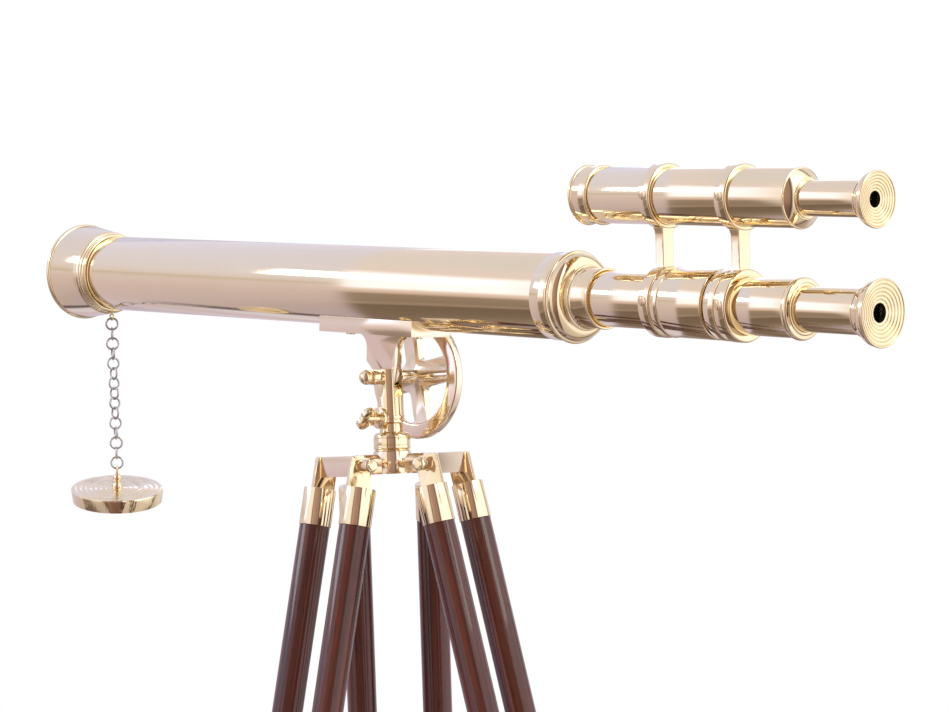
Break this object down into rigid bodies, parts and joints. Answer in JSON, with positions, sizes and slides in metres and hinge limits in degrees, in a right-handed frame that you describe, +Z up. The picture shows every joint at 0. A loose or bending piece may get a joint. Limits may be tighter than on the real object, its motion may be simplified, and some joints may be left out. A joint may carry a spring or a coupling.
{
  "type": "telescope on tripod",
  "caption": "Brass refracting telescope with a clamped-on finder, on a yoke mount and a folding wooden tripod with sliding legs.",
  "frame": {"origin": "on the floor, under the vertical axis that the telescope pans about", "axes": "+Z up; +X level and towards the eyepiece, -X towards the objective; +Y towards the altitude clamp wheel"},
  "size_m": [1.0551, 0.5899, 1.6259],
  "materials": {
    "polished_brass": "polished and lacquered",
    "mahogany": "dark red-brown mahogany, satin varnish",
    "lens_glass": "clear optical glass",
    "chain_steel": "plated wire rings"
  },
  "bodies": {
    "tripod_base": {"spindle": "polished_brass", "tripod_head": "polished_brass", "leg_hinge_bolts": "polished_brass"},
    "pan_fork": {"fork_post": "polished_brass", "altitude_bolt": "polished_brass"},
    "clamp_wheel": {"altitude_clamp_wheel": "polished_brass"},
    "pan_lock": {"azimuth_clamp_screw": "polished_brass"},
    "telescope": {"main_tube": "polished_brass", "objective_cell": "polished_brass", "objective_lenses": "lens_glass", "lens_retaining_ring": "polished_brass", "rear_collar": "polished_brass", "saddle": "polished_brass", "saddle_screws": "polished_brass", "chain_eyelet": "polished_brass"},
    "draw_tube": {"first_draw_tube": "polished_brass", "draw_bands": "polished_brass", "draw_sleeve": "polished_brass", "front_bracket": "polished_brass", "rear_bracket": "polished_brass", "bracket_screws": "polished_brass", "eyepiece_barrel": "polished_brass", "barrel_end_ring": "polished_brass", "erector_lenses": "polished_brass", "finder_tube": "polished_brass", "finder_front_cap": "polished_brass", "finder_objective_lens": "lens_glass", "finder_end_ring": "polished_brass"},
    "eyepiece": {"eyepiece_draw_tube": "polished_brass", "eyepiece_cup": "polished_brass", "eyepiece_lenses": "lens_glass"},
    "finder_eyepiece": {"finder_eyepiece_tube": "polished_brass", "finder_eyepiece_cup": "polished_brass", "finder_eye_lens": "lens_glass"},
    "hanging_cap": {"cap_chain": "chain_steel", "lens_cap": "polished_brass"},
    "leg_1_upper": {"leg_1_ferrules": "polished_brass", "leg_1_rods": "mahogany", "leg_1_yoke": "polished_brass"},
    "leg_1_lower": {"leg_1_slider": "polished_brass", "leg_1_lower_rod": "mahogany", "leg_1_foot": "polished_brass"},
    "nut_1": {"hinge_nut_1": "polished_brass"},
    "leg_lock_1": {"clamp_screw_1": "polished_brass"},
    "leg_2_upper": {"leg_2_ferrules": "polished_brass", "leg_2_rods": "mahogany", "leg_2_yoke": "polished_brass"},
    "leg_2_lower": {"leg_2_slider": "polished_brass", "leg_2_lower_rod": "mahogany", "leg_2_foot": "polished_brass"},
    "nut_2": {"hinge_nut_2": "polished_brass"},
    "leg_lock_2": {"clamp_screw_2": "polished_brass"},
    "leg_3_upper": {"leg_3_ferrules": "polished_brass", "leg_3_rods": "mahogany", "leg_3_yoke": "polished_brass"},
    "leg_3_lower": {"leg_3_slider": "polished_brass", "leg_3_lower_rod": "mahogany", "leg_3_foot": "polished_brass"},
    "nut_3": {"hinge_nut_3": "polished_brass"},
    "leg_lock_3": {"clamp_screw_3": "polished_brass"}
  },
  "joints": [
    {"name": "pan", "type": "hinge", "parent": "tripod_base", "child": "pan_fork", "pos_m": [0, 0, 1.40444], "axis": [0, 0, 1], "continuous": true},
    {"name": "altitude", "type": "hinge", "parent": "pan_fork", "child": "telescope", "pos_m": [0, 0, 1.44644], "axis": [0, 1, 0], "range_deg": [-25, 50]},
    {"name": "altitude_wheel_turn", "type": "hinge", "parent": "pan_fork", "child": "clamp_wheel", "pos_m": [0, 0, 1.44644], "axis": [0, 1, 0], "range_deg": [-150, 150]},
    {"name": "pan_lock_turn", "type": "hinge", "parent": "pan_fork", "child": "pan_lock", "pos_m": [0, -0.03, 1.40884], "axis": [0, 1, 0], "range_deg": [-180, 180]},
    {"name": "draw_tube_slide", "type": "slide", "parent": "telescope", "child": "draw_tube", "axis": [0.9949, 0, -0.1011], "range_m": [-0.05, 0.035]},
    {"name": "eyepiece_focus", "type": "slide", "parent": "draw_tube", "child": "eyepiece", "axis": [0.9949, 0, -0.1011], "range_m": [-0.04, 0.02]},
    {"name": "finder_focus", "type": "slide", "parent": "draw_tube", "child": "finder_eyepiece", "axis": [0.9949, 0, -0.1011], "range_m": [-0.04, 0.02]},
    {"name": "cap_swing", "type": "hinge", "parent": "telescope", "child": "hanging_cap", "pos_m": [-0.42514, 0, 1.52691], "axis": [0, 1, 0], "range_deg": [-60, 60]},
    {"name": "leg_1_splay", "type": "hinge", "parent": "tripod_base", "child": "leg_1_upper", "pos_m": [0.05008, 0.01764, 1.36594], "axis": [0.3322, -0.9432, 0], "range_deg": [-12.2, 10]},
    {"name": "leg_1_extend", "type": "slide", "parent": "leg_1_upper", "child": "leg_1_lower", "axis": [0.1993, 0.0702, -0.9774], "range_m": [-0.45, 0.1]},
    {"name": "hinge_nut_1_turn", "type": "hinge", "parent": "tripod_base", "child": "nut_1", "pos_m": [0.05008, 0.01764, 1.36594], "axis": [-0.3322, 0.9432, 0], "range_deg": [-180, 180]},
    {"name": "leg_1_lock_turn", "type": "hinge", "parent": "leg_1_upper", "child": "leg_lock_1", "pos_m": [0.20975, 0.07386, 0.67767], "axis": [0.9219, 0.3247, 0.2113], "range_deg": [-180, 180]},
    {"name": "leg_2_splay", "type": "hinge", "parent": "tripod_base", "child": "leg_2_upper", "pos_m": [-0.04032, 0.03456, 1.36594], "axis": [0.6508, 0.7593, 0], "range_deg": [-12.2, 10]},
    {"name": "leg_2_extend", "type": "slide", "parent": "leg_2_upper", "child": "leg_2_lower", "axis": [-0.1605, 0.1375, -0.9774], "range_m": [-0.45, 0.1]},
    {"name": "hinge_nut_2_turn", "type": "hinge", "parent": "tripod_base", "child": "nut_2", "pos_m": [-0.04032, 0.03456, 1.36594], "axis": [-0.6508, -0.7593, 0], "range_deg": [-180, 180]},
    {"name": "leg_2_lock_turn", "type": "hinge", "parent": "leg_2_upper", "child": "leg_lock_2", "pos_m": [-0.16884, 0.14471, 0.67767], "axis": [-0.7421, 0.6361, 0.2113], "range_deg": [-180, 180]},
    {"name": "leg_3_splay", "type": "hinge", "parent": "tripod_base", "child": "leg_3_upper", "pos_m": [-0.00977, -0.05219, 1.36594], "axis": [-0.9829, 0.184, 0], "range_deg": [-12.2, 10]},
    {"name": "leg_3_extend", "type": "slide", "parent": "leg_3_upper", "child": "leg_3_lower", "axis": [-0.0389, -0.2077, -0.9774], "range_m": [-0.45, 0.1]},
    {"name": "hinge_nut_3_turn", "type": "hinge", "parent": "tripod_base", "child": "nut_3", "pos_m": [-0.00977, -0.05219, 1.36594], "axis": [0.9829, -0.184, 0], "range_deg": [-180, 180]},
    {"name": "leg_3_lock_turn", "type": "hinge", "parent": "leg_3_upper", "child": "leg_lock_3", "pos_m": [-0.04091, -0.21858, 0.67767], "axis": [-0.1798, -0.9607, 0.2113], "range_deg": [-180, 180]}
  ]
}
